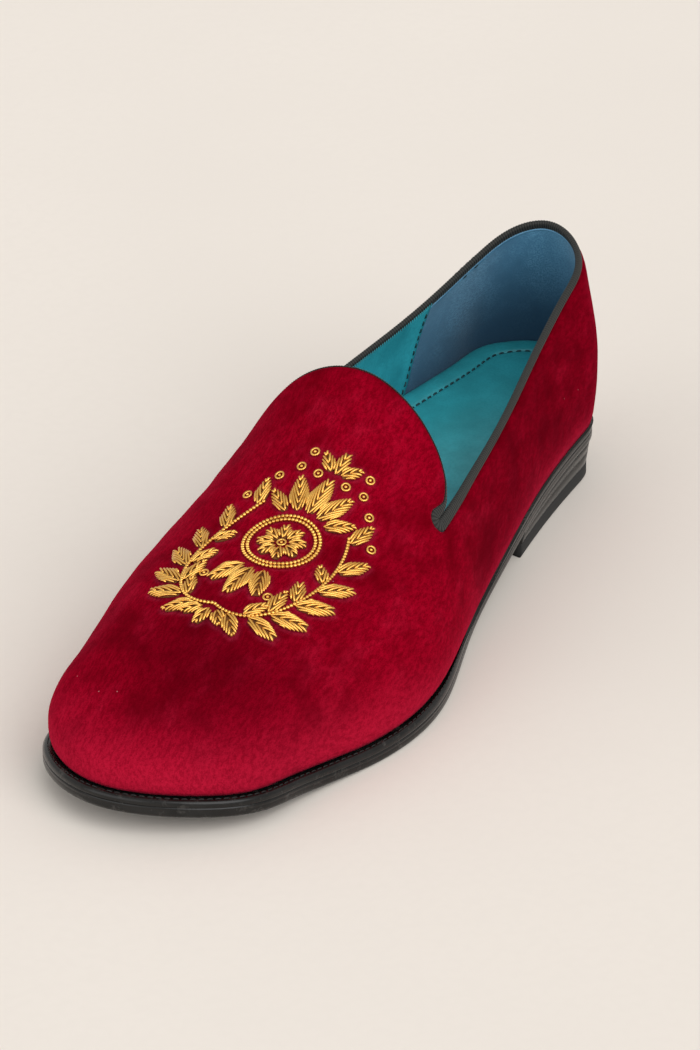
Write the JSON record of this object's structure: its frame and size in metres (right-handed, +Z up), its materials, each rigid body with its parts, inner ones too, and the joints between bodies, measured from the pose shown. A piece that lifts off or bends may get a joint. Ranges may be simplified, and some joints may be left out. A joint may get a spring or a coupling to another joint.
{
  "type": "smoking slipper loafer",
  "caption": "Low slip-on shoe with a rounded tongue vamp, V-notched quarters, ribbon-bound opening, leather sole and low stacked heel.",
  "frame": {"origin": "on the floor, under the middle of the shoe's bounding box", "axes": "+Y towards the heel, +X towards the outer (lateral) side of the foot, +Z up"},
  "size_m": [0.1049, 0.2971, 0.0899],
  "materials": {
    "velvet": "crimson cotton velvet, short dense pile",
    "grosgrain": "black ribbed ribbon",
    "lining_leather": "teal smooth kid leather",
    "suede_lining": "steel-blue suede",
    "sole_leather": "black, burnished and waxed",
    "heel_rubber": "matt black",
    "embroidery": "gilt bullion wire and beads",
    "thread": "waxed sewing thread"
  },
  "bodies": {
    "root": {"outsole": "sole_leather", "welt": "sole_leather", "heel_block": "sole_leather", "heel_top_piece": "heel_rubber", "insole": "lining_leather", "upper": "velvet", "collar_binding": "grosgrain"}
  },
  "joints": []
}
